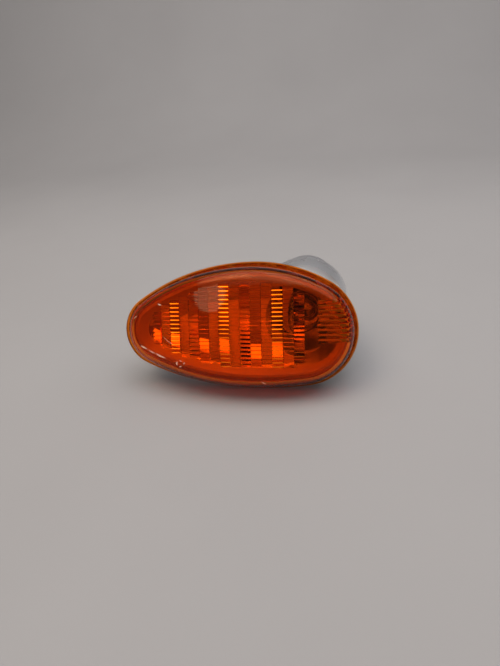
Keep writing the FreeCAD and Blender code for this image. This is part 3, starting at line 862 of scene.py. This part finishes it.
@dataclass
class HolderAssembly:
    """Twist-in bulb holder with its sleeve, contact set, seal and two blades."""

    # Nylon, moulded: black with a fine matt grain.
    nylon: MouldedPolymer = MouldedPolymer("black_nylon_moulded")
    # Rubber, moulded: black and dull.
    rubber: MouldedPolymer = MouldedPolymer(
        "black_rubber_moulded", colour="#141414", shade="#1B1A1A", roughness=0.75
    )
    # Laminate, punched from sheet: brown with slight clouds.
    laminate: MouldedPolymer = MouldedPolymer(
        "brown_laminate_punched", colour="#5A3A22", shade="#6B472B", roughness=0.55
    )
    # Steel, rolled and zinc-plated: pale grey with soft streaks.
    zinc: DrawnMetal = DrawnMetal("steel_zinc_plated_rolled", colour="#B9BBBD", roughness=0.34)
    # Brass, stamped from strip: yellow with fine streaks.
    brass: DrawnMetal = DrawnMetal("brass_stamped", colour="#C8A659", roughness=0.3)

    def build(self) -> None:
        """Dress the holder."""
        dress("holder_body", self.nylon.build())
        dress("holder_seal", self.rubber.build())
        dress("contact_carrier", self.laminate.build())
        steel = self.zinc.build()
        dress("socket_sleeve", steel)
        dress("contact_spring", steel)
        metal = self.brass.build()
        dress("contact_plunger", metal)
        dress("live_terminal", metal)
        dress("earth_terminal", metal)


@dataclass(frozen=True)
class SoftLight:
    """One soft round light: its direction from what it faces, its distance, breadth, power and colour.

    It faces the lamp, unless it has another place to aim at.
    """

    name: str
    azimuth_deg: float
    elevation_deg: float
    away_m: float
    breadth_m: float
    power_w: float
    colour: str = "#FFFFFF"
    aim_mm: tuple[float, float, float] | None = None


@dataclass
class Studio:
    """Pale floor that sweeps up behind the lamp, soft lights and the camera."""

    # Cotton, woven: pale and matt.
    cloth: PaleCloth = PaleCloth("pale_cloth_woven")
    image_px: tuple[int, int] = (500, 666)
    focal_px: float = 500.0
    sensor_mm: float = 36.0
    clip_start_m: float = 0.01
    azimuth_deg: float = 12.0
    elevation_deg: float = 30.0
    roll_deg: float = -6.0
    distance_mm: float = 265.0
    # The middle of the rim, and the place in the picture where it appears.
    target_mm: tuple[float, float, float] = (11.2, RIM_Y_MM, 0.0)
    target_px: tuple[float, float] = (238.8, 325.1)
    backdrop_mm: tuple[float, float, float] = (-250.0, 850.0, 200.0)
    sweep_back_mm: float = 500.0
    sweep_radius_mm: float = 450.0
    sweep_width_mm: float = 5000.0
    sweep_top_mm: float = 2200.0
    sweep_front_mm: float = 2500.0
    sweep_steps: int = 24
    world_colour: str = "#F4F2F0"
    world_strength: float = 0.16
    soft_lights: tuple[SoftLight, ...] = (
        SoftLight("side_soft", 100.0, 60.0, 1.1, 1.2, 5.8),
        SoftLight("overhead_soft", 10.0, 80.0, 0.75, 0.7, 2.1),
        SoftLight("left_soft", -60.0, 65.0, 1.1, 0.6, 2.9, "#FFEBC8"),
        SoftLight("front_soft", -30.0, 26.0, 1.6, 0.4, 1.3),
        SoftLight("fill_soft", -20.0, 60.0, 1.5, 1.5, 3.6),
        SoftLight("backdrop_soft", 0.0, 50.0, 0.9, 0.8, 2.2, aim_mm=backdrop_mm),
    )

    def floor(self, level: float) -> None:
        """Make the sweep.

        Args:
            level: Height of the floor in metres.
        """
        profile = [(-self.sweep_front_mm, 0.0), (self.sweep_back_mm, 0.0)]
        for step in range(1, self.sweep_steps + 1):
            angle = math.radians(90 * step / self.sweep_steps)
            profile.append((
                self.sweep_back_mm + self.sweep_radius_mm * math.sin(angle),
                self.sweep_radius_mm * (1 - math.cos(angle)),
            ))
        profile.append((self.sweep_back_mm + self.sweep_radius_mm, self.sweep_top_mm))
        half = self.sweep_width_mm / 2
        points = [
            Vector((side * half * MM, y * MM, level + z * MM)) for y, z in profile for side in (-1, 1)
        ]
        floor = new_piece("floor", points, ribbon_faces(len(profile)))
        floor.data.materials.append(self.cloth.build())
        floor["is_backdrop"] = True

    def hang(self, soft: SoftLight) -> None:
        """Hang one soft light.

        Args:
            soft: Place, breadth, power and colour of the light.
        """
        light = bpy.data.lights.new(soft.name, "AREA")
        light.color = to_linear(soft.colour)[:3]
        light.shape = "DISK"
        light.size = soft.breadth_m
        light.energy = soft.power_w
        holder = bpy.data.objects.new(soft.name, light)
        bpy.context.scene.collection.objects.link(holder)
        towards = direction(soft.azimuth_deg, soft.elevation_deg)
        middle = Vector(soft.aim_mm or self.target_mm) * MM
        holder.location = middle + towards * soft.away_m
        holder.rotation_euler = towards.to_track_quat("Z", "Y").to_euler()

    def lights(self) -> None:
        """Hang the lights and set the world."""
        for soft in self.soft_lights:
            self.hang(soft)
        world = bpy.data.worlds.new("studio")
        bpy.context.scene.world = world
        world.use_nodes = True
        background = world.node_tree.nodes["Background"]
        background.inputs["Color"].default_value = to_linear(self.world_colour)
        background.inputs["Strength"].default_value = self.world_strength

    def camera(self) -> None:
        """Set the camera at the viewing angle of the picture."""
        turn = math.radians(self.azimuth_deg)
        roll = math.radians(self.roll_deg)
        back = direction(self.azimuth_deg, self.elevation_deg)
        right = Vector((math.cos(turn), math.sin(turn), 0.0))
        up = back.cross(right)
        right_rolled = right * math.cos(roll) + up * math.sin(roll)
        up_rolled = up * math.cos(roll) - right * math.sin(roll)
        away = self.distance_mm * MM
        aside = (self.target_px[0] - self.image_px[0] / 2) / self.focal_px * away
        lowered = (self.target_px[1] - self.image_px[1] / 2) / self.focal_px * away
        eye = Vector(self.target_mm) * MM + back * away - right_rolled * aside + up_rolled * lowered
        data = bpy.data.cameras.new("camera")
        data.sensor_fit = "AUTO"
        data.sensor_width = self.sensor_mm
        data.lens = self.sensor_mm * self.focal_px / max(self.image_px)
        data.clip_start = self.clip_start_m
        camera = bpy.data.objects.new("camera", data)
        bpy.context.scene.collection.objects.link(camera)
        axes = Matrix((right_rolled, up_rolled, back)).transposed().to_4x4()
        camera.matrix_world = Matrix.Translation(eye) @ axes
        bpy.context.scene.camera = camera

    def build(self, level: float) -> None:
        """Make floor, lights and camera.

        Args:
            level: Height of the floor in metres.
        """
        self.floor(level)
        self.lights()
        self.camera()
        bpy.context.scene.view_settings.view_transform = "Standard"


def main() -> None:
    """Build and dress the lamp."""
    logging.basicConfig(level=logging.INFO)
    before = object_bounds()
    LensAssembly().build()
    HousingAssembly().build()
    BulbAssembly().build()
    HolderAssembly().build()
    Studio().build(before[0][2])


if __name__ == "__main__":
    main()
